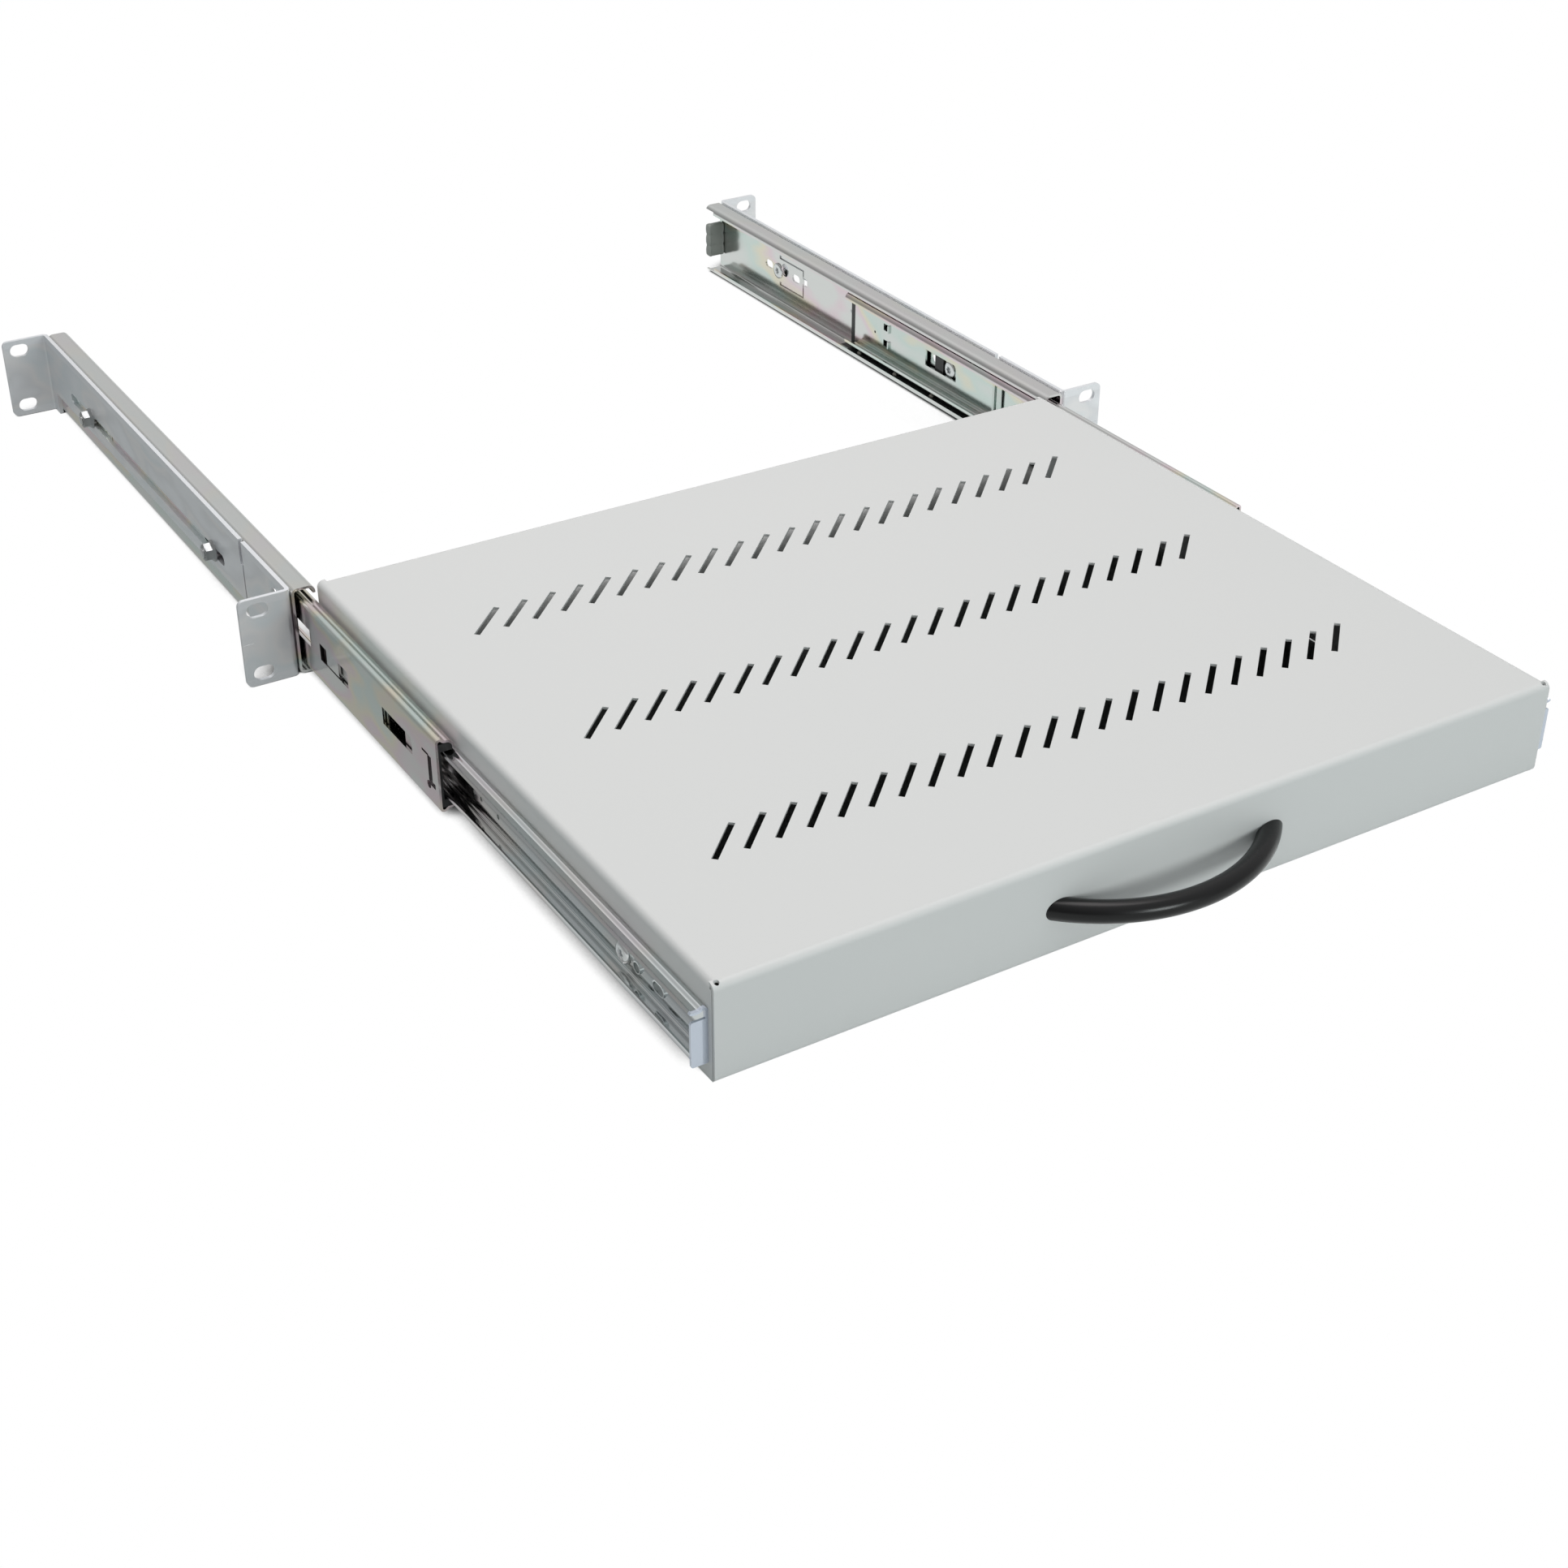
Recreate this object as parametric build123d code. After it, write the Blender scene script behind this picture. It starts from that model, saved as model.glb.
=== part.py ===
import os
from math import atan2, cos, degrees, radians, sin
from build123d import *

# Sliding rack shelf: a slotted sheet-steel tray with a bow handle, carried on two three-member
# ball-bearing slides, each with a fixed front bracket and an adjustable rear bracket.
# Millimetres. X is to the right, Y to the rear, Z up. The origin is midway between the four
# front rack slots, on the face of the front ears. The tray is modelled fully pulled out.
# Everything is drawn on the right-hand side and mirrored for the left.
# Places along a slide are measured to the rear from its own front or rear end.

# Rack interface
ear_span = 482.6                # over both ears
ear_slot_inset = 8.75           # from an ear's tip to its column of slots
rack_hole_rise = 31.75          # between the two slots of one ear
ear_reach = 25.3                # from the slide's back to the ear's tip
ear_height = 43.6
ear_slot_length = 10.3
ear_slot_width = 7.0
ear_corner_radius = 3.0

# Slides
slide_thickness = 12.7          # from the tray's side to the outer member's back
slide_length = 355.6
slide_height = 43.0
outer_sheet = 1.2
outer_bend = 2.6
inner_sheet = 1.1               # sheet of the middle and inner members
outer_ball = 3.97               # ball diameter between the outer and middle members
inner_ball = 4.76               # ball diameter between the middle and inner members
race_clearance = 0.1
lip_inset = 1.3                 # from the tray's side to the outer member's lip
race_lip = 0.7                  # straight end of a lip below its raceway
web_gap = 1.4                   # between the outer and middle webs

middle_half_height = 17.4
middle_groove = 1.2             # depth of the middle member's ball groove below its ridge
middle_lip_inset = 1.6
middle_lip_end = 0.3            # straight end of a lip below its raceway
middle_ridge = (1.6, 2.8)       # rise of the ridge, from the outer balls' centre line
groove_bend = 1.8
ridge_bend = 1.4
middle_shortfall = 14.6         # by which the middle member is shorter than the outer one
middle_front = -147.0

inner_half_height = 11.0
inner_groove = 0.85
inner_groove_rim = (0.95, 1.65) # turned-up rim of the groove, from the inner balls' centre line
inner_rim_rise = 0.5
inner_ridge = (1.55, 2.85)      # rise of the ridge, from the inner balls' centre line
inner_bend = 1.5
inner_web_bend = 1.6
inner_shortfall = 3.6
inner_setback = 4.2             # of its front end behind the tray's panel
end_tab_top = 6.0
end_tab_bottom = -14.0
end_tab_reach = 7.2
end_tab_corner = 0.9

# Holes of the outer member's web, placed from the rear clamp screw
clamp_inset = 71.0              # rear clamp screw, from the slide's rear end
front_clamp = 100.0             # front clamp screw, from the slide's front end
tool_hole_dia = 8.0
tool_hole_offset = -7.8
tool_hole_height = 1.6
oblong_length = 8.7
oblong_width = 5.0
oblong_offsets = (10.9, -20.3)
square_hole = 4.8
square_offset = -30.7
square_height = 1.0
tongue_slit = 1.1
tongue_front = -29.3
tongue_rear = -3.2
tongue_top = 7.6
tongue_bottom = -9.2
tongue_hook = 1.8
small_hole_place = 201.1
small_hole_dia = 4.2
access_hole_place = 114.6
access_hole_dia = 7.6
lip_relief = 9.0                # trim of the lips at the rear end

# Windows of the middle member's web, placed from its front and rear ends
front_window = (25.5, 55.5)
front_window_rise = (-2.4, 5.9)
front_window_corner = 2.4
slide_window = (135.0, 153.0)
slide_window_rise = (-3.0, 5.5)
stop_window = (93.5, 124.5)
stop_window_half = 4.2
stop_tongue = (103.7, 117.0)    # left standing in the stop window, on its upper edge
stop_tongue_gap = 1.0
rear_window = (-103.0, -73.0)
rear_window_half = 4.7
gauge_hole = -21.2
gauge_hole_dia = 1.6
gauge_height = -2.4
cage_stop = -33.0
cage_stop_length = 5.8
cage_stop_heights = (3.8, -5.9)
cage_stop_half = 2.0

# Release latch in the middle member's mouth, placed from its front end
latch_notch = (3.2, 9.4)
latch_top = 6.4
latch_bottom = -8.0
latch_slit = 14.8
latch_relief_dia = 3.6
latch_tab = (3.8, 7.0)
latch_sink = 0.5                # of the tab behind the web's face

# Holes of the inner member's web, placed from its front end
collar_place = 49.3
collar_dia = 5.4
collar_height = -2.6
long_collar_place = 32.9
long_collar_length = 8.7
long_collar_height = -1.9
collar_wall = 0.6
collar_rise = 0.9
nick_places = (166.4, 182.0, 188.4)
nick_dia = 2.4
nick_height = -1.7

# Ball cages
outer_cage_sheet = 0.7
outer_cage_front = 14.0
outer_cage_overhang = 6.0       # of its rear end past the middle member
outer_cage_travel = 73.2        # to the rear, while the shelf is pushed home
cage_head_gap = 0.6             # between its bridges and the front clamp screw's head
inner_cage_sheet = 0.6
inner_cage_setback = 27.0       # of its front end behind the middle member's
inner_cage_length = 175.0
pocket_clearance = 0.15
balls_in_row = 5
cage_gap = 0.3
cage_bend = 1.0
cage_bridge = 8.0
outer_cage_window = 7.0         # half its height
inner_cage_window = 9.0         # half its length
inner_cage_opening = 7.5        # half its height

# Black guide in the middle member's mouth
guide_length = 19.0
guide_overhang = 0.3            # past the member's front end
guide_wall = 0.95
guide_play = 0.5                # to the moving inner member
guide_gap = 0.08

# Tray
tray_depth = 356.0
tray_height = 43.5
tray_top = 22.2
tray_front = -355.2
tray_sheet = 1.2
tray_bend = 3.0
hem_depth = 10.0
rear_flange_height = 20.0
panel_slit = 0.5
relief_hole = 2.2

slots_in_row = 23
slot_rows = 3
slot_pitch = 14.0
slot_row_pitch = 102.4
slot_middle_row = -175.4
slot_length = 26.0
slot_width = 2.8
slot_angle = 45.0

# Pull handle
handle_half_span = 51.8
handle_rise = 21.0
handle_dia = 9.6
handle_sides = 14
handle_height = -0.2
handle_screw_inset = 4.0

# Brackets
bracket_sheet = 2.0
bracket_bend = 3.0
front_bracket_length = 57.0
bracket_gap = 1.3               # between the front bracket and the rear one
rear_ear_setback = 2.4          # of the rear ear behind the slide
rear_plate_bottom = -10.0
rear_ear_root = 10.0            # full height of the plate next to the rear ear
rear_step_length = 2.2
rear_step_bottom = 9.0
adjust_slot_front = 85.0
adjust_slot_inset = 37.6        # from the slide's rear end
adjust_slot_width = 5.6
adjust_slot_height = -1.0

# Fasteners
screw_dia = 5.0
head_dia = 9.6
head_height = 2.2
flat_head_height = 1.1
drive_dia = 3.6
drive_depth = 0.8
fit_clearance = 0.05
nut_flats = 8.0
nut_height = 4.0
washer_dia = 11.0
washer_height = 1.0
thread_end = 1.2
shank_sides = 8
head_sides = 12
rivet_dia = 4.0
rivet_head_dia = 7.5
rivet_head_height = 1.6
rivet_setback = 16.0
rivet_rise = 12.5
handle_screw_dia = 4.0
handle_screw_head = 7.5
handle_screw_head_height = 2.4
handle_screw_reach = 7.0
tray_screw_setback = 59.7       # front tray screw, from the inner member's front end
tray_screw_inset = 31.0         # rear tray screw, from the inner member's rear end
tray_screw_height = -2.0
tray_screw_reach = 6.0

# Buffer on the rear stop tab
buffer_inset = 5.6              # of the buffer's face, from the slide's rear end
buffer_depth = 5.2
buffer_height = 20.4
buffer_lobes = 3
buffer_round = 1.4
buffer_lobe_merge = 0.35        # by which neighbouring lobes run into each other
buffer_drop = 0.4
buffer_side_gap = 0.4           # to the tray's side
stop_tab_height = 12.0
stop_tab_setback = 2.0          # of the tab behind the buffer's face
stop_tab_root = 3.2             # from the tray's side to the tab's edge
seat_gap = 0.05

# Worked out from the driving sizes
ear_tip = ear_span / 2
ear_slot_x = ear_tip - ear_slot_inset
ear_top = ear_height / 2
back = ear_tip - ear_reach
tray_side = back - slide_thickness
tray_width = 2 * tray_side
outer_web = back - outer_sheet
middle_web = outer_web - web_gap
middle_web_inside = middle_web - inner_sheet
top = slide_height / 2
outer_race = outer_ball / 2 + race_clearance + outer_sheet
outer_lip = tray_side + lip_inset
outer_ball_x = outer_lip + outer_race
outer_ball_z = top - outer_race
middle_race = inner_ball / 2 + race_clearance + inner_sheet
middle_lip = tray_side + middle_lip_inset
middle_floor = middle_half_height - middle_groove
inner_ball_x = middle_lip + middle_race
inner_ball_z = middle_floor - middle_race
inner_floor = inner_half_height - inner_groove
inner_web_face = tray_side + inner_sheet
inner_front = tray_front + inner_setback
inner_rear = inner_front + slide_length - inner_shortfall
middle_rear = middle_front + slide_length - middle_shortfall
outer_cage_length = middle_rear + outer_cage_overhang - outer_cage_front
inner_cage_front = middle_front + inner_cage_setback
tray_bottom = tray_top - tray_height
tray_rear = tray_front + tray_depth
plate_face = back + bracket_sheet
rear_clamp = slide_length - clamp_inset
rear_screw_places = (rear_clamp, front_clamp)
tray_screw_places = (inner_front + tray_screw_setback, inner_rear - tray_screw_inset)
buffer_face = slide_length - buffer_inset
rear_bracket_start = front_bracket_length + bracket_gap
rear_ear_face = slide_length + rear_ear_setback
adjust_slot_rear = slide_length - adjust_slot_inset
handle_screw_spread = 2 * (handle_half_span - handle_screw_inset)


def mirrored(shape):
    """The same piece on the left-hand slide."""
    return mirror(shape, about=Plane.YZ)


def block(x, y, z):
    """Box between two corners, given as (low, high) on each axis."""
    size = (x[1] - x[0], y[1] - y[0], z[1] - z[0])
    middle = ((x[0] + x[1]) / 2, (y[0] + y[1]) / 2, (z[0] + z[1]) / 2)
    return Pos(*middle) * Box(*size)


def rod_x(x, y, z, dia):
    """Round bar along X between two x values."""
    return Pos((x[0] + x[1]) / 2, y, z) * Rot(0, 90, 0) * Cylinder(dia / 2, x[1] - x[0])


def along_x(section, x, y, z):
    """A flat section, its own X turned to the rear, carried along X between two x values."""
    return extrude(Plane((x[0], y, z), x_dir=(0, 1, 0), z_dir=(1, 0, 0)) * section, amount=x[1] - x[0])


def shank_x(x, y, z, dia):
    """Plain shank along X, or the hole that it fills, with flats in place of its thread."""
    return along_x(RegularPolygon(dia / 2, shank_sides), x, y, z)


def span(low_high, start):
    """A stretch given from an end of a member, as (low, high) on the member's own axis."""
    return (start + low_high[0], start + low_high[1])


def rod_y(x, y, z, dia):
    """Round bar along Y between two y values."""
    return Pos(x, (y[0] + y[1]) / 2, z) * Rot(90, 0, 0) * Cylinder(dia / 2, y[1] - y[0])


def sheet(points, radii, thickness, plane, side):
    """Face of a bent sheet: a filleted path, its offset, and square ends."""
    path = FilletPolyline(*points, radius=radii).wire()
    return plane * make_face(path.offset_2d(thickness, side=side, closed=True).edges())


def bar(points, radii, thickness, side, front, rear):
    """Rolled section in X and Z, carried along Y from front to rear."""
    face = sheet(points, radii, thickness, Plane.XZ, side)
    return Pos(0, front, 0) * extrude(face, amount=rear - front, dir=(0, 1, 0))


def both_edges(upper):
    """The upper half of a symmetrical section, followed by its mirror image below."""
    return upper + [(x, -z) for x, z in reversed(upper)]


def drive_recess(x, y, z, depth):
    """Six-sided drive recess along X, sunk from x inwards."""
    return Pos(x, y, z) * extrude(Plane.YZ * RegularPolygon(drive_dia / 2, 6), amount=depth)


def capped_head(x, y, z, dia, edge, outward):
    """Many-sided head along X between two x values, with its outward rim chamfered."""
    head = along_x(RegularPolygon(dia / 2, head_sides), x, y, z)
    return chamfer(head.faces().sort_by(Axis.X)[-1 if outward else 0].edges(), edge)


# Outer member: fixed to both brackets, its lips curl round the outer balls
def outer_member():
    upper = [(outer_lip, outer_ball_z - race_lip), (outer_lip, top), (back, top)]
    radii = [outer_race, outer_bend, outer_bend, outer_race]
    body = bar(both_edges(upper), radii, outer_sheet, Side.RIGHT, 0, slide_length)
    through = (outer_web - 1, back + 1)
    for y in rear_screw_places:
        body -= shank_x(through, y, adjust_slot_height, screw_dia + 2 * fit_clearance)
    for z in (rivet_rise, -rivet_rise):
        body -= shank_x(through, rivet_setback, z, rivet_dia + 2 * fit_clearance)
    # Fixing holes of the standard rail, spread along the web
    body -= rod_x(through, rear_clamp + tool_hole_offset, tool_hole_height, tool_hole_dia)
    body -= rod_x(through, small_hole_place, square_height, small_hole_dia)
    body -= rod_x(through, access_hole_place, square_height, access_hole_dia)
    for offset in oblong_offsets:
        body -= along_x(SlotOverall(oblong_length, oblong_width), through, rear_clamp + offset, 0)
    square = Rectangle(square_hole, square_hole)
    body -= along_x(square, through, rear_clamp + square_offset, square_height)
    # Three-sided slit round a spring tongue that stays flat
    reach = span((tongue_front, tongue_rear), rear_clamp)
    half = tongue_slit / 2
    for z in (tongue_top, tongue_bottom):
        body -= block(through, reach, (z - half, z + half))
        hook = (reach[1] - tongue_slit / 4, reach[1] + tongue_hook)
        body -= block(through, hook, (z - half, z + tongue_hook))
    body -= block(through, (reach[0], reach[0] + tongue_slit), (tongue_bottom, tongue_top))
    # Lips are trimmed back at the rear end, behind the ball travel
    lips = (outer_lip - 1, outer_ball_x - outer_sheet)
    trim = outer_ball_z + outer_sheet
    body -= block(lips, (slide_length - lip_relief, slide_length + 1), (-trim, trim))
    # Stop tab folded in from the web's rear end
    tab_half = stop_tab_height / 2
    tab_front = buffer_face + stop_tab_setback
    tab_rear = tab_front + outer_sheet
    notch = tab_half + tongue_slit / 2
    body -= block(through, (tab_rear, slide_length + 1), (-notch, notch))
    body += block((tray_side + stop_tab_root, outer_web + 0.2), (tab_front, tab_rear), (-tab_half, tab_half))
    return body


# Middle member: its flanges carry a ball groove outside and a raceway inside
def middle_member():
    upper = [
        (middle_lip, inner_ball_z - middle_lip_end),
        (middle_lip, middle_floor),
        (outer_ball_x + middle_ridge[0], middle_floor),
        (outer_ball_x + middle_ridge[1], middle_half_height),
        (middle_web, middle_half_height),
    ]
    radii = [middle_race, groove_bend, ridge_bend, groove_bend]
    body = bar(both_edges(upper), radii + radii[::-1], inner_sheet, Side.RIGHT, middle_front, middle_rear)
    through = (middle_web_inside - 1, middle_web + 1)
    # Long windows, front and rear
    opening = block(through, span(front_window, middle_front), front_window_rise)
    corner = opening.edges().filter_by(Axis.X).sort_by(lambda edge: edge.center().Y - edge.center().Z)[:1]
    body -= fillet(corner, front_window_corner)
    body -= block(through, span(rear_window, middle_rear), (-rear_window_half, rear_window_half))
    body -= block(through, span(slide_window, middle_front), slide_window_rise)
    # Stop window, with the tongue that is left standing in it
    window = span(stop_window, middle_front)
    body -= block(through, (window[0], middle_front + stop_tongue[0]), (-stop_window_half, stop_window_half))
    body -= block(through, (middle_front + stop_tongue[1], window[1]), (-stop_window_half, stop_window_half))
    body -= block(through, window, (-stop_window_half, stop_tongue_gap - stop_window_half))
    body -= shank_x(through, middle_rear + gauge_hole, gauge_height, gauge_hole_dia)
    # Latch notch behind the front end, with its corner relief and a sprung tab
    notch = span(latch_notch, middle_front)
    body -= block(through, notch, (latch_bottom, latch_top))
    slit = (notch[1] - 1, middle_front + latch_slit)
    body -= block(through, slit, (latch_top - tongue_slit / 2, latch_top + tongue_slit / 2))
    body -= rod_x(through, notch[1] + latch_sink, latch_bottom - latch_sink, latch_relief_dia)
    sunk = (middle_web_inside - latch_sink, middle_web - latch_sink)
    body += block(sunk, span(latch_tab, middle_front), (latch_bottom + 1.6, latch_top + latch_sink))
    # Two lanced tabs that stop the inner ball cage
    place = middle_rear + cage_stop
    lanced = (middle_web_inside - cage_stop_half / 2, middle_web - latch_sink)
    for z in cage_stop_heights:
        rise = (z - cage_stop_half, z + cage_stop_half)
        body -= block(through, (place - cage_stop_length / 2, place + cage_stop_length / 2), rise)
        front = place - cage_stop_length / 2 - latch_sink
        body += block(lanced, (front, front + inner_sheet), (rise[0] - 0.2, rise[1] + 0.2))
    return body


# Inner member: screwed flat to the tray's side, grooved for the inner balls
def inner_member():
    upper = [
        (inner_ball_x + inner_groove_rim[1], inner_floor + inner_rim_rise),
        (inner_ball_x + inner_groove_rim[0], inner_floor),
        (inner_ball_x - inner_ridge[0], inner_floor),
        (inner_ball_x - inner_ridge[1], inner_half_height),
        (tray_side, inner_half_height),
    ]
    radii = [inner_bend, inner_bend, inner_bend, inner_web_bend]
    body = bar(both_edges(upper), radii + radii[::-1], inner_sheet, Side.LEFT, inner_front, inner_rear)
    through = (tray_side - 1, inner_web_face + 1)
    for y in tray_screw_places:
        body -= shank_x(through, y, tray_screw_height, screw_dia + 2 * fit_clearance)
    # Plunged holes, each with a raised collar
    bore = (tray_side - 1, inner_web_face + 2)
    collar = (inner_web_face - 0.1, inner_web_face + collar_rise)
    wall = 2 * collar_wall
    for offset, z, outside, inside in (
        (collar_place, collar_height, Circle(collar_dia / 2), Circle(collar_dia / 2 - collar_wall)),
        (
            long_collar_place,
            long_collar_height,
            SlotOverall(long_collar_length, collar_dia),
            SlotOverall(long_collar_length - wall, collar_dia - wall),
        ),
    ):
        body += along_x(outside, collar, inner_front + offset, z)
        body -= along_x(inside, bore, inner_front + offset, z)
    for offset in nick_places:
        body -= shank_x(through, inner_front + offset, nick_height, nick_dia)
    # Tab folded across the front end
    width = (tray_side, tray_side + end_tab_reach)
    tab = block(width, (inner_front, inner_front + inner_sheet), (end_tab_bottom, end_tab_top))
    tab = fillet(tab.edges().filter_by(Axis.Y), end_tab_corner)
    return body + tab


# Ball cages: the outer one rides between the two webs, the inner one inside the middle member
def ball_places(front, length):
    """Evenly spread ball positions of one row."""
    pitch = length / balls_in_row
    return [front + pitch * (n + 0.5) for n in range(balls_in_row)]


def pocket(x, y, dia, flange):
    """Square ball pockets through both flanges of a cage."""
    width = dia + 2 * pocket_clearance
    return Pos(x, y, 0) * Box(width, width, 2 * flange + 2)


def outer_cage():
    web = (outer_web + middle_web) / 2 + outer_cage_sheet / 2
    flange = outer_ball_z + outer_cage_sheet / 2
    inside = outer_lip + outer_sheet + cage_gap
    rear = outer_cage_front + outer_cage_length
    points = both_edges([(inside, flange), (web, flange)])
    body = bar(points, cage_bend, outer_cage_sheet, Side.RIGHT, outer_cage_front, rear)
    through = (middle_web - 1, outer_web + 1)
    # Two windows: the front one passes over the clamp screw's head, all along the travel
    clear = head_dia / 2 + cage_head_gap
    bridge = front_clamp + clear
    window = (-outer_cage_window, outer_cage_window)
    body -= block(through, (front_clamp - clear - outer_cage_travel, bridge), window)
    body -= block(through, (bridge + cage_bridge, rear - cage_bridge), window)
    for y in ball_places(outer_cage_front, outer_cage_length):
        body -= pocket(outer_ball_x, y, outer_ball, flange)
    return body


def inner_cage():
    web = middle_web_inside - 0.5
    flange = inner_ball_z + inner_cage_sheet / 2
    inside = middle_lip + inner_sheet + cage_gap
    rear = inner_cage_front + inner_cage_length
    points = both_edges([(inside, flange), (web, flange)])
    body = bar(points, cage_bend, inner_cage_sheet, Side.RIGHT, inner_cage_front, rear)
    through = (web - 2, web + 1)
    rise = (-inner_cage_opening, inner_cage_opening)
    for y in ball_places(inner_cage_front, inner_cage_length):
        body -= pocket(inner_ball_x, y, inner_ball, flange)
        body -= block(through, (y - inner_cage_window, y + inner_cage_window), rise)
    body -= block(through, (rear - cage_bridge / 2, rear - cage_bridge / 4), rise)
    return body


def ball(dia):
    """Ball with 26 flat faces, its corners on the sphere: a cube with every edge taken off."""
    side = dia * 0.86
    cube = Box(side, side, side)
    return chamfer(cube.edges(), side * (1 - 0.5**0.5))


def balls(x, z, dia, places):
    """Both rows of one cage's balls, as separate solids."""
    one = ball(dia)
    return [Pos(x, y, side * z) * one for y in places for side in (1, -1)]


# Black guide in the middle member's mouth: it lines the web and both raceways
def front_guide():
    front = middle_front - guide_overhang
    rear = middle_front + guide_length
    bore = inner_half_height + guide_play
    crown = Plane.XZ * (Pos(inner_ball_x, inner_ball_z) * Circle(middle_race - inner_sheet - guide_gap))
    shape = extrude(crown, amount=rear - front, dir=(0, 1, 0))
    upper = Pos(0, front, 0) * shape
    web = (middle_web_inside - guide_wall, middle_web_inside - seat_gap)
    roof = middle_floor - inner_sheet - guide_gap
    upper += block((inner_ball_x, web[1]), (front, rear), (bore, roof))
    upper -= block((middle_lip - 2, middle_web), (front - 1, rear + 1), (0, bore))
    body = upper + mirror(upper, about=Plane.XY)
    body += block(web, (front, rear), (-roof, roof))
    # Clears the sprung tab
    gap = span((latch_tab[0] - guide_play, latch_tab[1] + guide_play), middle_front)
    body -= block((web[0] - 1, web[1] + 1), gap, (latch_bottom + 1, latch_top + 1))
    return body


# Rubber buffer with three lobes, pushed over the stop tab
def buffer():
    lobe = buffer_height / buffer_lobes
    x = (tray_side + buffer_side_gap, outer_web - 2 * seat_gap)
    y = (buffer_face, buffer_face + buffer_depth)
    body = None
    for n in range(buffer_lobes):
        low = -buffer_height / 2 - buffer_drop + n * lobe
        part = block(x, y, (low - buffer_lobe_merge, low + lobe + buffer_lobe_merge))
        part = fillet(part.edges().filter_by(Axis.Y).sort_by(Axis.X)[:2], buffer_round)
        body = part if body is None else body + part
    tab_half = stop_tab_height / 2
    tab_front = buffer_face + stop_tab_setback
    seat = (tab_front - seat_gap, tab_front + outer_sheet + seat_gap)
    width = (tray_side + stop_tab_root - seat_gap, outer_web)
    return body - block(width, seat, (-tab_half - seat_gap, tab_half + seat_gap))


# Tray: top, sides, front panel and rear flange folded from one sheet
def slot_cutters():
    """Slanted slots, row by row."""
    cutter = Box(slot_length, slot_width, 4 * tray_sheet)
    first = -(slots_in_row - 1) / 2
    rows = [slot_middle_row + slot_row_pitch * (n - (slot_rows - 1) / 2) for n in range(slot_rows)]
    return [
        Pos((first + n) * slot_pitch, y, tray_top) * Rot(0, 0, slot_angle) * cutter
        for y in rows
        for n in range(slots_in_row)
    ]


def tray():
    front = tray_front + tray_bend
    overlap = 0.5
    shell = [
        (-tray_side, tray_bottom),
        (-tray_side, tray_top),
        (tray_side, tray_top),
        (tray_side, tray_bottom),
    ]
    body = bar(shell, tray_bend, tray_sheet, Side.RIGHT, front, tray_rear)
    # Front panel with its top bend and the hem along its bottom edge
    profile = [
        (front + overlap, tray_top),
        (tray_front, tray_top),
        (tray_front, tray_bottom),
        (tray_front + hem_depth, tray_bottom),
    ]
    panel = sheet(profile, [tray_bend, tray_bend], tray_sheet, Plane.YZ, Side.LEFT)
    front_panel = Pos(-tray_side, 0, 0) * extrude(panel, amount=tray_width, dir=(1, 0, 0))
    inside = tray_front + tray_sheet
    for side in (-1, 1):
        edge = side * tray_side
        trim = sorted((edge + side, edge - side * (tray_sheet + 0.4)))
        front_panel -= block(trim, (inside, front + hem_depth), (tray_bottom - 1, tray_bottom + hem_depth))
    body += front_panel
    # Rear flange, between reliefs next to the side flanges
    half = tray_side - tray_bend - 1.0
    bend_start = tray_rear - tray_bend - overlap
    body -= block((-half, half), (bend_start, tray_rear + 1), (tray_top - tray_bend, tray_top + 1))
    lip = [
        (bend_start - overlap, tray_top),
        (tray_rear, tray_top),
        (tray_rear, tray_top - rear_flange_height),
    ]
    flange = sheet(lip, [tray_bend], tray_sheet, Plane.YZ, Side.RIGHT)
    body += Pos(-half, 0, 0) * extrude(flange, amount=2 * half, dir=(1, 0, 0))
    for side in (-1, 1):
        edge = side * tray_side
        wall = sorted((edge, edge - side * tray_sheet))
        # The side flange reaches to a thin slit behind the panel's end
        body += block(wall, (inside + panel_slit, front + overlap), (tray_bottom, tray_top - tray_bend))
        relief = Pos(edge - side * relief_hole, inside + relief_hole / 3, tray_top)
        body -= relief * Cylinder(relief_hole / 2, 2 * tray_bend)
        for y in tray_screw_places:
            bore = (min(wall) - 1, max(wall) + 1)
            body -= shank_x(bore, y, tray_screw_height, screw_dia + 2 * fit_clearance)
        x = side * handle_screw_spread / 2
        body -= rod_y(x, (tray_front - 1, inside + 1), handle_height, handle_screw_dia + 0.4)
    for cutter in slot_cutters():
        body -= cutter
    return body


# Bow handle: a bar bent to an arc, cut flat where it meets the panel
def pull_handle():
    slope = 2 * degrees(atan2(handle_rise, handle_half_span))
    run_in = handle_dia
    back_x = handle_half_span + run_in * cos(radians(slope))
    back_y = tray_front + run_in * sin(radians(slope))
    start = (-handle_half_span, tray_front, handle_height)
    apex = (0, tray_front - handle_rise, handle_height)
    end = (handle_half_span, tray_front, handle_height)
    bow = Line((-back_x, back_y, handle_height), start) + ThreePointArc(start, apex, end)
    bow += Line(end, (back_x, back_y, handle_height))
    section = Plane(origin=bow @ 0, z_dir=bow % 0) * RegularPolygon(handle_dia / 2, handle_sides)
    body = sweep(section, path=bow)
    body -= block((-2 * back_x, 2 * back_x), (tray_front, back_y + handle_dia), (-handle_dia, handle_dia))
    reach = (tray_front - handle_screw_reach - 0.2, tray_front + 1)
    bore = handle_screw_dia + 2 * fit_clearance
    for side in (-1, 1):
        body -= rod_y(side * handle_screw_spread / 2, reach, handle_height, bore)
    return body


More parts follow.
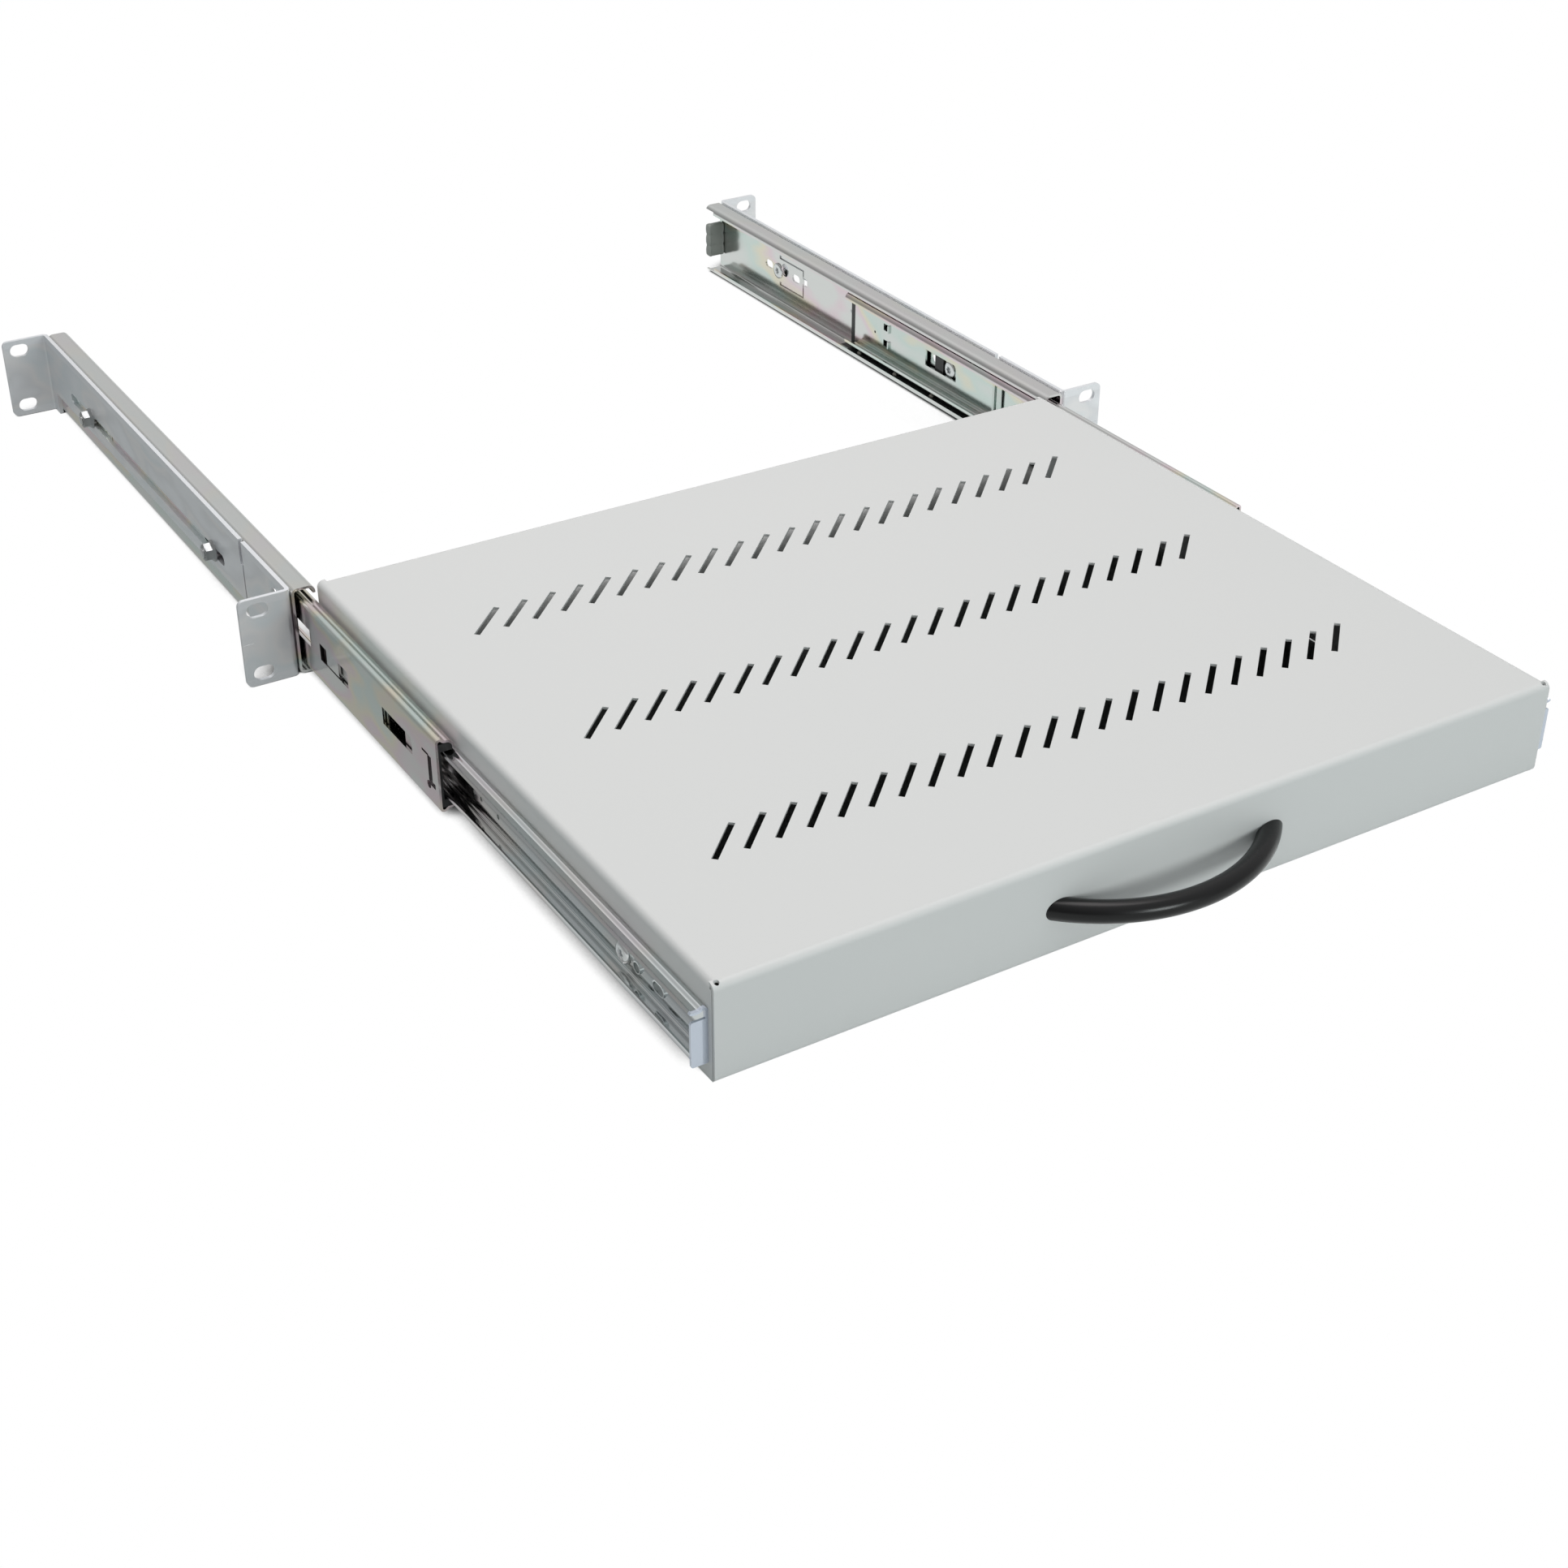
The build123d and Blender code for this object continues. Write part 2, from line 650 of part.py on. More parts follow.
def handle_screws():
    inside = tray_front + tray_sheet
    screws = []
    for side in (-1, 1):
        x = side * handle_screw_spread / 2
        shank = rod_y(x, (tray_front - handle_screw_reach, inside + 0.5), handle_height, handle_screw_dia)
        crown = (x, inside + handle_screw_head_height, handle_height)
        plane = Plane(crown, x_dir=(1, 0, 0), z_dir=(0, -1, 0))
        outline = plane * RegularPolygon(handle_screw_head / 2, head_sides)
        head = extrude(outline, amount=handle_screw_head_height)
        head = chamfer(head.faces().sort_by(Axis.Y)[-1].edges(), 0.8)
        screws.append(shank + head)
    return screws


# Brackets: folded plates whose ears bolt to the rack rails
def ear_slots(y):
    """The two rack slots of one ear."""
    straight = ear_slot_length - ear_slot_width
    cutters = []
    for z in (-rack_hole_rise / 2, rack_hole_rise / 2):
        plane = Plane((ear_slot_x, y, z), x_dir=(1, 0, 0), z_dir=(0, -1, 0))
        face = plane * SlotCenterToCenter(straight, ear_slot_width)
        cutters.append(extrude(face, amount=bracket_sheet * 2, both=True))
    return cutters


def bracket(points, side):
    face = sheet(points, [bracket_bend], bracket_sheet, Plane.XY, side)
    body = Pos(0, 0, -ear_top) * extrude(face, amount=ear_height, dir=(0, 0, 1))
    corners = body.edges().filter_by(Axis.Y).sort_by(Axis.X)[-2:]
    return fillet(corners, ear_corner_radius)


def front_bracket():
    body = bracket([(back, front_bracket_length), (back, 0), (ear_tip, 0)], Side.LEFT)
    for cutter in ear_slots(bracket_sheet / 2):
        body -= cutter
    for z in (rivet_rise, -rivet_rise):
        body -= shank_x((back - 1, plate_face + 1), rivet_setback, z, rivet_dia + 2 * fit_clearance)
    # Shallow scribed centre line across the ear
    body -= block((ear_slot_x + 3, ear_tip + 1), (-1, 0.15), (-0.15, 0.15))
    return body


def rear_bracket():
    body = bracket([(back, rear_bracket_start), (back, rear_ear_face), (ear_tip, rear_ear_face)], Side.RIGHT)
    for cutter in ear_slots(rear_ear_face - bracket_sheet / 2):
        body -= cutter
    root = rear_ear_face - rear_ear_root
    body -= block((back - 1, plate_face + 0.5), (0, root), (-ear_top - 1, rear_plate_bottom))
    # Stepped front end, next to the front bracket
    step = (0, rear_bracket_start + rear_step_length)
    body -= block((back - 1, plate_face + 1), step, (rear_step_bottom, ear_top + 1))
    middle = (adjust_slot_front + adjust_slot_rear) / 2
    straight = adjust_slot_rear - adjust_slot_front - adjust_slot_width
    slot = SlotCenterToCenter(straight, adjust_slot_width)
    return body - along_x(slot, (back - 1, plate_face + 1), middle, adjust_slot_height)


# Fasteners
def rear_screws():
    screws = []
    for y in rear_screw_places:
        tip = plate_face + washer_height + nut_height + thread_end
        shank = shank_x((outer_web - 0.5, tip), y, adjust_slot_height, screw_dia)
        face = (outer_web - flat_head_height, outer_web)
        head = capped_head(face, y, adjust_slot_height, head_dia, 0.5, False)
        drive = drive_recess(face[0] - 0.1, y, adjust_slot_height, drive_depth)
        screws.append(shank + head - drive)
    return screws


def rear_nuts():
    nuts = []
    for y in rear_screw_places:
        seat = plate_face + washer_height
        disc = RegularPolygon(washer_dia / 2, head_sides)
        washer = along_x(disc, (plate_face, seat), y, adjust_slot_height)
        hexagon = RegularPolygon(nut_flats / 2, 6, major_radius=False)
        nut = along_x(hexagon, (seat - 0.1, seat + nut_height), y, adjust_slot_height)
        through = (plate_face - 1, seat + nut_height + 1)
        bore = shank_x(through, y, adjust_slot_height, screw_dia + 2 * fit_clearance)
        nuts.append(washer + nut - bore)
    return nuts


def bracket_rivets():
    rivets = []
    for z in (rivet_rise, -rivet_rise):
        shank = shank_x((outer_web, plate_face + 0.5), rivet_setback, z, rivet_dia)
        face = (plate_face, plate_face + rivet_head_height)
        rivets.append(shank + capped_head(face, rivet_setback, z, rivet_head_dia, 1.1, True))
    return rivets


def tray_screws():
    screws = []
    for y in tray_screw_places:
        shank = shank_x((tray_side - tray_screw_reach, inner_web_face + 0.5), y, tray_screw_height, screw_dia)
        face = (inner_web_face, inner_web_face + head_height)
        head = capped_head(face, y, tray_screw_height, head_dia, 0.9, True)
        drive = drive_recess(face[1] - drive_depth, y, tray_screw_height, drive_depth + 0.1)
        screws.append(shank + head - drive)
    return screws


def save(name, shapes):
    """Write one node: a solid, or a group of separate solids."""
    group = shapes if isinstance(shapes, list) else [shapes]
    solids = [solid for shape in group for solid in shape.solids()]
    export_step(solids[0] if len(solids) == 1 else Compound(children=solids), f"parts/{name}.step")


os.makedirs("parts", exist_ok=True)

outer_places = ball_places(outer_cage_front, outer_cage_length)
inner_places = ball_places(inner_cage_front, inner_cage_length)
handed = {
    "outer_member": [outer_member()],
    "middle_member": [middle_member()],
    "inner_member": [inner_member()],
    "outer_ball_cage": [outer_cage()],
    "inner_ball_cage": [inner_cage()],
    "outer_balls": balls(outer_ball_x, outer_ball_z, outer_ball, outer_places),
    "inner_balls": balls(inner_ball_x, inner_ball_z, inner_ball, inner_places),
    "front_guide": [front_guide()],
    "rear_buffer": [buffer()],
    "front_bracket": [front_bracket()],
    "rear_bracket": [rear_bracket()],
}
for name, shapes in handed.items():
    save(name + "_right", shapes)
    save(name + "_left", [mirrored(shape) for shape in shapes])

save("shelf_tray", tray())
save("pull_handle", pull_handle())
save("handle_screws", handle_screws())
for name, shapes in (
    ("rear_bracket_screws", rear_screws()),
    ("rear_bracket_nuts", rear_nuts()),
    ("front_bracket_rivets", bracket_rivets()),
    ("tray_screws", tray_screws()),
):
    save(name, shapes + [mirrored(shape) for shape in shapes])
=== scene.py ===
# Looks of the sliding rack shelf: powder coat, zinc plate, black grip, and the small turned and
# moulded pieces at full detail. Metres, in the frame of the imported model.
import math

import bpy
import numpy as np
from mathutils import Matrix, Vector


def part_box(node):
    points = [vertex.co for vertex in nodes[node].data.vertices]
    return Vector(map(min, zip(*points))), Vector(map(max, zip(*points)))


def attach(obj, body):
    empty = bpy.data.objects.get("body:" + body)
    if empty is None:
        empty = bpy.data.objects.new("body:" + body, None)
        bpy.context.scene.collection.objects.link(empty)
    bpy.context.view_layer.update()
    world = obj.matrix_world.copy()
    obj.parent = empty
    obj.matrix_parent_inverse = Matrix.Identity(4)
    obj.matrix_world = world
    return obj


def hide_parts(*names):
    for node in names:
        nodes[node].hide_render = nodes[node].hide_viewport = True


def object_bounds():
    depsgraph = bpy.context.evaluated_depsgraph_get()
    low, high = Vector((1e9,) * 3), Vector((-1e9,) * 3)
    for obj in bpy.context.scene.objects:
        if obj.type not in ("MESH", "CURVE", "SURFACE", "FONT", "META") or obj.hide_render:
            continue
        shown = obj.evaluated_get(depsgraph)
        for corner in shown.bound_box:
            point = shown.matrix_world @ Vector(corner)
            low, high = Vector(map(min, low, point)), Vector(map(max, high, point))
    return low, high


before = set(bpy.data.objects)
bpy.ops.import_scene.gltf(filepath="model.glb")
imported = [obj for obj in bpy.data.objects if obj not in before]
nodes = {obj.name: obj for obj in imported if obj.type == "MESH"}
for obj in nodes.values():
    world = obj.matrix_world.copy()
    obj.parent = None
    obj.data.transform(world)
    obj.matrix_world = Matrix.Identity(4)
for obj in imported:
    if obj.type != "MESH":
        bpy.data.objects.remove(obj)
cad_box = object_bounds()

# Studio
# A camera on a tripod in front of the left corner, a step away, looks down at the shelf. The shelf
# lies on a pale table in a white tent, under a large overhead lamp and a smaller low one in front.
azimuth, elevation, roll = map(math.radians, (-31.678, 32.091, 0.175))
focal_length = 56.181
film_width = 36.0
nearest_seen = 0.01
camera_place = (-0.53990, -0.94667, 0.53156)
table_gap = 0.0004
table_size = 8.0

back = np.array([
    math.sin(azimuth) * math.cos(elevation),
    -math.cos(azimuth) * math.cos(elevation),
    math.sin(elevation),
])
level = np.cross(-back, (0, 0, 1))
level /= np.linalg.norm(level)
upright = np.cross(back, level)
right = math.cos(roll) * level + math.sin(roll) * upright
above = math.cos(roll) * upright - math.sin(roll) * level
camera = bpy.data.objects.new("camera", bpy.data.cameras.new("camera"))
camera.matrix_world = Matrix([
    (right[row], above[row], back[row], camera_place[row]) for row in range(3)
] + [(0, 0, 0, 1)])
camera.data.lens = focal_length
camera.data.sensor_width = film_width
camera.data.clip_start = nearest_seen
bpy.context.scene.collection.objects.link(camera)
bpy.context.scene.camera = camera
bpy.context.scene.view_settings.view_transform = "Standard"


class Signal:
    """A shader socket that takes part in Python sums: each operator adds its Math node."""

    def __init__(self, tree, socket):
        self.tree = tree
        self.socket = socket

    def math(self, operation, *values):
        node = self.tree.nodes.new("ShaderNodeMath")
        node.operation = operation
        for place, value in zip(node.inputs, values):
            if isinstance(value, Signal):
                self.tree.links.new(value.socket, place)
            else:
                place.default_value = value
        return Signal(self.tree, node.outputs[0])

    def __add__(self, other):
        return self.math("ADD", self, other)

    def __sub__(self, other):
        return self.math("SUBTRACT", self, other)

    def __rsub__(self, other):
        return self.math("SUBTRACT", other, self)

    def __mul__(self, other):
        return self.math("MULTIPLY", self, other)

    def below(self, other):
        return self.math("LESS_THAN", self, other)

    def clamp(self, low=0.0, high=1.0):
        return self.math("MINIMUM", self.math("MAXIMUM", self, low), high)


class Shader:
    """A node tree that is filled by one method for every kind of node."""

    def __init__(self, tree):
        self.tree = tree

    def node(self, kind, settings=None, sockets=None, out=0):
        made = self.tree.nodes.new("ShaderNode" + kind)
        for name, value in (settings or {}).items():
            if name == "stops":
                stops = made.color_ramp.elements
                while len(stops) < len(value):
                    stops.new(1.0)
                for stop, (place, colour) in zip(stops, value):
                    stop.position = place
                    stop.color = (*colour, 1.0)
            else:
                setattr(made, name, value)
        for name, value in (sockets or {}).items():
            self.feed(made.inputs[name], value)
        return Signal(self.tree, made.outputs[out])

    def feed(self, place, value):
        if isinstance(value, Signal):
            self.tree.links.new(value.socket, place)
        elif place.type == "RGBA" and len(value) == 3:
            place.default_value = (*value, 1.0)
        else:
            place.default_value = value


def ray(shader, kind):
    """1 for rays of one kind, by the name of Light Path's output."""
    return shader.node("LightPath", out=kind)


def blend(shader, share, low, high):
    """Colour that runs from low to high as the share goes from 0 to 1."""
    return shader.node("Mix", {"data_type": "RGBA"}, {"Factor": share, "A": low, "B": high}, out=2)


def part_of(shader, vector, axis):
    """One component of a vector."""
    return shader.node("SeparateXYZ", sockets={"Vector": vector}, out=axis)


# The tent is white to the eye. In the metal it is brightest overhead and dimmer towards the left.
tent_light = (0.315, 0.352, 0.356)
tent_in_metal = (
    (0.0, (0.58,) * 3),
    (0.48, (0.58,) * 3),
    (0.56, (0.60,) * 3),
    (0.66, (0.66,) * 3),
    (0.80, (0.78,) * 3),
    (1.0, (1.0,) * 3),
)
dim_side_reach = 0.6
dim_side = 0.55
world = bpy.data.worlds.new("tent")
bpy.context.scene.world = world
world.use_nodes = True
tent = Shader(world.node_tree)
sky = world.node_tree.nodes["Background"]
direction = tent.node("TexCoord", out="Generated")
from_left = (part_of(tent, direction, "X") * (1 / dim_side_reach) + 1.0).clamp()
upward = tent.node(
    "ValToRGB", {"stops": tent_in_metal}, {"Fac": part_of(tent, direction, "Z") * 0.5 + 0.5}
)
seen_in_metal = tent.node(
    "VectorMath",
    {"operation": "SCALE"},
    {"Vector": upward, "Scale": from_left * (1 - dim_side) + dim_side},
)
lit = blend(tent, ray(tent, "Is Glossy Ray"), tent_light, seen_in_metal)
tent.feed(sky.inputs["Color"], blend(tent, ray(tent, "Is Camera Ray"), lit, (1.0, 1.0, 1.0)))

# The table is white to the eye, but has a painted shadow, a dark colour to the eye, under the shelf
# and close behind it, where little is open towards the front lamp. For the metal it is a painted
# reflection: it glows, brighter in front and on the right, as if under the lamps.
open_towards = (0.0, -0.894, 0.447)
open_reach = 0.3
open_samples = 32
open_low = 0.44
open_gain = 8.0
table_roughness = 0.7
table_shine = 0.2
table_colour = (0.45, 0.47, 0.475)
painted_table_shadow = (0.15, 0.155, 0.15)
right_glint = (0.79, 1.6)
right_range = (0.39, 0.92)
front_glint = (-0.60, -3.0)
front_range = (0.0, 0.5)
glint_tint = (0.97, 1.0, 0.99)


def table_finish():
    material = bpy.data.materials.new("white_table")
    material.use_nodes = True
    tree = material.node_tree
    shader = Shader(tree)
    laminate = tree.nodes["Principled BSDF"]
    eye_ray = ray(shader, "Is Camera Ray")
    # Painted shadow: to the eye the laminate is dark, and this shows where the table is not fully
    # open.
    shader.feed(laminate.inputs["Base Color"], blend(shader, eye_ray, table_colour, painted_table_shadow))
    shader.feed(laminate.inputs["Roughness"], table_roughness)
    shader.feed(laminate.inputs["Specular IOR Level"], table_shine)
    forwards = shader.node("CombineXYZ", sockets=dict(zip("XYZ", open_towards)))
    openness = shader.node(
        "AmbientOcclusion",
        {"samples": open_samples},
        {"Distance": open_reach, "Normal": forwards},
        "AO",
    )
    share = ((openness - open_low) * open_gain).clamp()
    place = shader.node("TexCoord", out="Object")
    rightward = (part_of(shader, place, "X") * right_glint[1] + right_glint[0]).clamp(*right_range)
    forward = (part_of(shader, place, "Y") * front_glint[1] + front_glint[0]).clamp(*front_range)
    glint = (rightward + forward).clamp()
    white = shader.node("Emission", sockets={"Color": (1.0, 1.0, 1.0)})
    # Painted reflection: rays off the metal see the open table glow, brighter in front and on the
    # right.
    painted_reflection_glow = shader.node("Emission", sockets={"Color": glint_tint, "Strength": glint})
    shaded = Signal(tree, laminate.outputs[0])
    metal = shader.node(
        "MixShader", sockets={"Fac": ray(shader, "Is Glossy Ray") * share, 1: shaded, 2: painted_reflection_glow}
    )
    eye = shader.node("MixShader", sockets={"Fac": eye_ray * share, 1: metal, 2: white})
    shader.feed(tree.nodes["Material Output"].inputs["Surface"], eye)
    return material


def mesh_piece(name, vertices, faces, material, crease=35.0):
    """A mesh object at the origin from arrays of points and faces, smooth but for its sharp edges."""
    mesh = bpy.data.meshes.new(name)
    corners = [list(map(int, face)) for face in faces]
    mesh.from_pydata(np.asarray(vertices).reshape(-1, 3).tolist(), [], corners)
    mesh.polygons.foreach_set("use_smooth", [True] * len(mesh.polygons))
    mesh.set_sharp_from_angle(angle=math.radians(crease))
    mesh.materials.append(material)
    piece = bpy.data.objects.new(name, mesh)
    bpy.context.scene.collection.objects.link(piece)
    return piece


reach = table_size / 2
table_height = cad_box[0][2] - table_gap
corners = [(-reach, -reach), (reach, -reach), (reach, reach), (-reach, reach)]
table = mesh_piece("table", [(x, y, table_height) for x, y in corners], [(0, 1, 2, 3)], table_finish())


lamp_up = (0.0, 1.0, 0.02)
overhead = {
    "place": (-0.05, 0.12, 1.5),
    "aim": (0.0, -0.05, 0.0),
    "size": 1.3,
    "power": 16.3,
    "colour": (1.0, 0.95, 0.95),
}
low_front = {
    "place": (0.2, -1.9, 0.38),
    "aim": (0.0, -0.2, 0.0),
    "size": 0.45,
    "power": 8.6,
    "colour": (0.94, 1.0, 1.0),
}


def softbox(name, place, aim, size, power, colour):
    """A square cloth-covered lamp that points from its place to a spot."""
    lamp = bpy.data.objects.new(name, bpy.data.lights.new(name, "AREA"))
    lamp.data.size = size
    lamp.data.energy = power
    lamp.data.color = colour
    away = np.array(place, float) - np.array(aim, float)
    away /= np.linalg.norm(away)
    side = np.cross(lamp_up, away)
    side /= np.linalg.norm(side)
    over = np.cross(away, side)
    lamp.matrix_world = Matrix([
        (side[row], over[row], away[row], place[row]) for row in range(3)
    ] + [(0, 0, 0, 1)])
    bpy.context.scene.collection.objects.link(lamp)


softbox("overhead", **overhead)
softbox("front", **low_front)

# Tray
# Folded from one sheet of steel and powder coated light grey. The coat is baked on, so it is thick
# and slightly pebbled, with a faint cloud in its colour and gloss.
coat_colour = (0.72, 0.72, 0.71)
coat_cloud = (0.73, 0.724, 0.712)
coat_cloud_size = 9.0
coat_shine = 0.4
coat_roughness = 0.4
coat_cloud_haze = 0.06
pebble_size = 900.0
pebble_haze = 0.12
pebble_height = 0.00004
pebble_strength = 0.5


def new_finish(name, **plain_sockets):
    """A material, its Principled shader with plain values set, and its Object coordinates."""
    material = bpy.data.materials.new(name)
    material.use_nodes = True
    shader = Shader(material.node_tree)
    surface = material.node_tree.nodes["Principled BSDF"]
    for socket, value in plain_sockets.items():
        shader.feed(surface.inputs[socket.replace("_", " ")], value)
    return material, shader, surface, shader.node("TexCoord", out="Object")


def noise(shader, place, scale, detail=3.0, stretch=(1.0, 1.0, 1.0)):
    """Cloudy values about one half, drawn out along the axes whose stretch is small."""
    drawn = shader.node("Mapping", sockets={"Vector": place, "Scale": stretch})
    return shader.node("TexNoise", sockets={"Vector": drawn, "Scale": scale, "Detail": detail})


def bump(shader, height, distance, strength=1.0):
    """Normals tilted by a height, whose full step is a distance in metres."""
    return shader.node("Bump", sockets={"Height": height, "Distance": distance, "Strength": strength})


def powder_coat():
    material, shader, surface, place = new_finish("powder_coat", Specular_IOR_Level=coat_shine)
    cloud = noise(shader, place, coat_cloud_size, detail=2.0)
    pebble = noise(shader, place, pebble_size, detail=2.0)
    shader.feed(surface.inputs["Base Color"], blend(shader, cloud, coat_colour, coat_cloud))
    roughness = pebble * pebble_haze + cloud * coat_cloud_haze + coat_roughness
    shader.feed(surface.inputs["Roughness"], roughness)
    shader.feed(surface.inputs["Normal"], bump(shader, pebble, pebble_height, pebble_strength))
    return material


def dress(finish, *names):
    """Gives CAD nodes a finish in place of the plain one they came with."""
    for name in names:
        for place in nodes[name].material_slots:
            place.material = finish


def both_sides(name):
    return f"{name}_left", f"{name}_right"


dress(powder_coat(), "shelf_tray")

# Pull handle
# A zinc casting in the shape of a bow, a little thicker at its feet than in the middle, with a black
# satin coat. Two screws from behind the panel draw its flat feet against the paint.
handle_half_span = 0.0518
handle_rise = 0.021
handle_height = -0.0002
handle_middle = 0.0046
handle_foot = 0.0049
handle_rings = 96
handle_sides = 48
handle_black = (0.0032, 0.0032, 0.0035)
handle_shine = 0.28
handle_roughness = 0.22
handle_wear = 0.08
wear_size = 60.0
handle_grain_size = 2600.0
handle_grain_height = 0.00003
handle_grain_strength = 0.35
panel_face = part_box("shelf_tray")[0][1]


def handle_coat():
    material, shader, surface, place = new_finish(
        "handle_coat", Base_Color=handle_black, Specular_IOR_Level=handle_shine
    )
    grain = noise(shader, place, handle_grain_size, detail=2.0)
    wear = noise(shader, place, wear_size)
    shader.feed(surface.inputs["Roughness"], wear * handle_wear + handle_roughness)
    height = bump(shader, grain, handle_grain_height, handle_grain_strength)
    shader.feed(surface.inputs["Normal"], height)
    return material


def grid_faces(rows, columns, closed=False):
    """Quads of a tube of rings. Its ends meet where it is closed, and else are capped by a polygon."""
    ring = np.arange(columns)
    near = np.arange(rows if closed else rows - 1)[:, None] * columns + ring
    beside = near - ring + (ring + 1) % columns
    ahead = (near + columns) % (rows * columns)
    opposite = (beside + columns) % (rows * columns)
    quads = np.stack([near, beside, opposite, ahead], axis=-1).reshape(-1, 4)
    caps = [] if closed else [ring[::-1], (rows - 1) * columns + ring]
    return [*quads, *caps]


def bow_handle():
    """Circles carried along an arc. Round the bar, each line of points ends where its own arc of
    radius R + r cos(a) meets the panel, so the feet are flat. The bar swells with the square of the
    way out to the feet."""
    radius = (handle_half_span**2 + handle_rise**2) / (2 * handle_rise)
    around = np.linspace(0, 2 * math.pi, handle_sides, endpoint=False)[None, :]
    along = np.linspace(-1, 1, handle_rings + 1)[:, None]
    thick = handle_middle + (handle_foot - handle_middle) * along**2
    out = radius + thick * np.cos(around)
    sweep = np.arccos((radius - handle_rise) / (radius + handle_foot * np.cos(around)))
    turn = along * sweep
    x = out * np.sin(turn)
    y = panel_face - handle_rise + radius - out * np.cos(turn)
    z = handle_height + thick * np.sin(around)
    points = np.stack([x, y, z], axis=-1)
    faces = grid_faces(handle_rings + 1, handle_sides)
    piece = mesh_piece("bow_handle", points, faces, handle_coat())
    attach(piece, "shelf")
    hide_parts("pull_handle")


bow_handle()

# Slide members and inner cages
# Roll-formed from steel strip, zinc plated and passivated. The clear film gives faint pink, straw and
# green clouds, and the rolls leave fine lines along the length.
film_size = 26.0
film_stretch = (1.0, 0.55, 1.3)
film_start = 0.36
film_first = 0.43
film_step = 0.06
film_end = 0.66
film_all_over = 0.25
film_on_web = 0.7
film_under_haze = 0.2
web_half = 0.018
roll_line_size = 900.0
roll_line_stretch = (1.0, 0.012, 1.0)
roll_line_height = 0.00002
roll_line_strength = 0.3
haze_size = 45.0
haze_stretch = (1.0, 0.3, 1.0)
haze_gloss = 0.08
slide_grain = 0.07
tab_front = -0.3495
tab_tint = (0.62, 0.66, 0.75)
tab_dullness = 0.7


def rolled_zinc(name, base, film, polish, grain=slide_grain, front_tint=None, metallic=1.0):
    """Zinc whose film runs through its colours with a cloud, strongest on the web, with lines along Y
    in gloss and height."""
    material, shader, surface, place = new_finish(name, Metallic=metallic)
    thickness = noise(shader, place, film_size, detail=2.0, stretch=film_stretch)
    lines = noise(shader, place, roll_line_size, stretch=roll_line_stretch)
    haze = noise(shader, place, haze_size, detail=4.0, stretch=haze_stretch)
    bands = [(0.0, base), (film_start, base)]
    bands += [(film_first + film_step * step, tint) for step, tint in enumerate(film)]
    bands += [(film_end, base)]
    colour = shader.node("ValToRGB", {"stops": bands}, {"Fac": thickness})
    rise = part_of(shader, place, "Z")
    on_web = (rise * rise).below(web_half**2)
    strength = on_web * film_on_web + film_all_over - haze * film_under_haze
    colour = blend(shader, strength, base, colour)
    if front_tint:
        in_front = part_of(shader, place, "Y").below(tab_front)
        colour = blend(shader, in_front, colour, front_tint)
        shader.feed(surface.inputs["Metallic"], 1.0 - in_front * tab_dullness)
    shader.feed(surface.inputs["Base Color"], colour)
    shader.feed(surface.inputs["Roughness"], lines * grain + haze * haze_gloss + polish)
    shader.feed(surface.inputs["Normal"], bump(shader, lines, roll_line_height, roll_line_strength))
    return material


slide_colour = (0.655, 0.66, 0.65)
slide_film = [(0.70, 0.575, 0.62), (0.71, 0.66, 0.52), (0.56, 0.655, 0.62)]
slide_polish = 0.09
slide_zinc = rolled_zinc("slide_zinc", slide_colour, slide_film, slide_polish)
dress(slide_zinc, *both_sides("outer_member"), *both_sides("middle_member"))
inner_colour = (0.66, 0.68, 0.69)
inner_polish = 0.04
inner_grain = 0.05
inner_film = [(0.69, 0.66, 0.68), (0.69, 0.68, 0.66), (0.65, 0.69, 0.69)]
inner_zinc = rolled_zinc(
    "inner_slide_zinc", inner_colour, inner_film, inner_polish, inner_grain, front_tint=tab_tint
)
dress(inner_zinc, *both_sides("inner_member"))
cage_colour = (0.60, 0.60, 0.58)
cage_polish = 0.22
cage_zinc = rolled_zinc("cage_zinc", cage_colour, slide_film, cage_polish)
dress(cage_zinc, *both_sides("inner_ball_cage"))

# Brackets
# Folded from two-millimetre sheet and zinc plated in a barrel, which leaves them bluer and duller
# than the slides, with a faint brushed grain and small knocks.
bracket_film = [(0.76, 0.77, 0.79), (0.85, 0.84, 0.84), (0.76, 0.80, 0.82)]
bracket_colour = (0.84, 0.855, 0.88)
bracket_polish = 0.28
bracket_grain = 0.16
bracket_metal = 0.7
bracket_zinc = rolled_zinc(
    "bracket_zinc", bracket_colour, bracket_film, bracket_polish, bracket_grain, metallic=bracket_metal
)
dress(bracket_zinc, *both_sides("front_bracket"), *both_sides("rear_bracket"))

# Outer cages and front guides
# Both are moulded in black acetal, which is hard, slippery and faintly glossy. The cages slide
# between the webs of the outer and middle members, and the guides sit in the middle members' mouths.
acetal_colour = (0.014, 0.014, 0.015)
acetal_dust = (0.020, 0.020, 0.021)
acetal_polish = 0.33
acetal_grain_size = 1800.0
dust_size = 120.0
moulded_grain_haze = 0.15
moulded_grain_height = 0.00003
moulded_grain_strength = 0.4


def moulded(name, colour, dusty, polish, grain_size):
    """Moulded plastic or rubber: fine grain in gloss and height, and a little dust."""
    material, shader, surface, place = new_finish(name)
    grain = noise(shader, place, grain_size)
    dust = noise(shader, place, dust_size)
    shader.feed(surface.inputs["Base Color"], blend(shader, dust, colour, dusty))
    shader.feed(surface.inputs["Roughness"], grain * moulded_grain_haze + polish)
    height = bump(shader, grain, moulded_grain_height, moulded_grain_strength)
    shader.feed(surface.inputs["Normal"], height)
    return material


black_acetal = moulded(
    "black_acetal", acetal_colour, acetal_dust, acetal_polish, acetal_grain_size
)
dress(black_acetal, *both_sides("outer_ball_cage"), *both_sides("front_guide"))

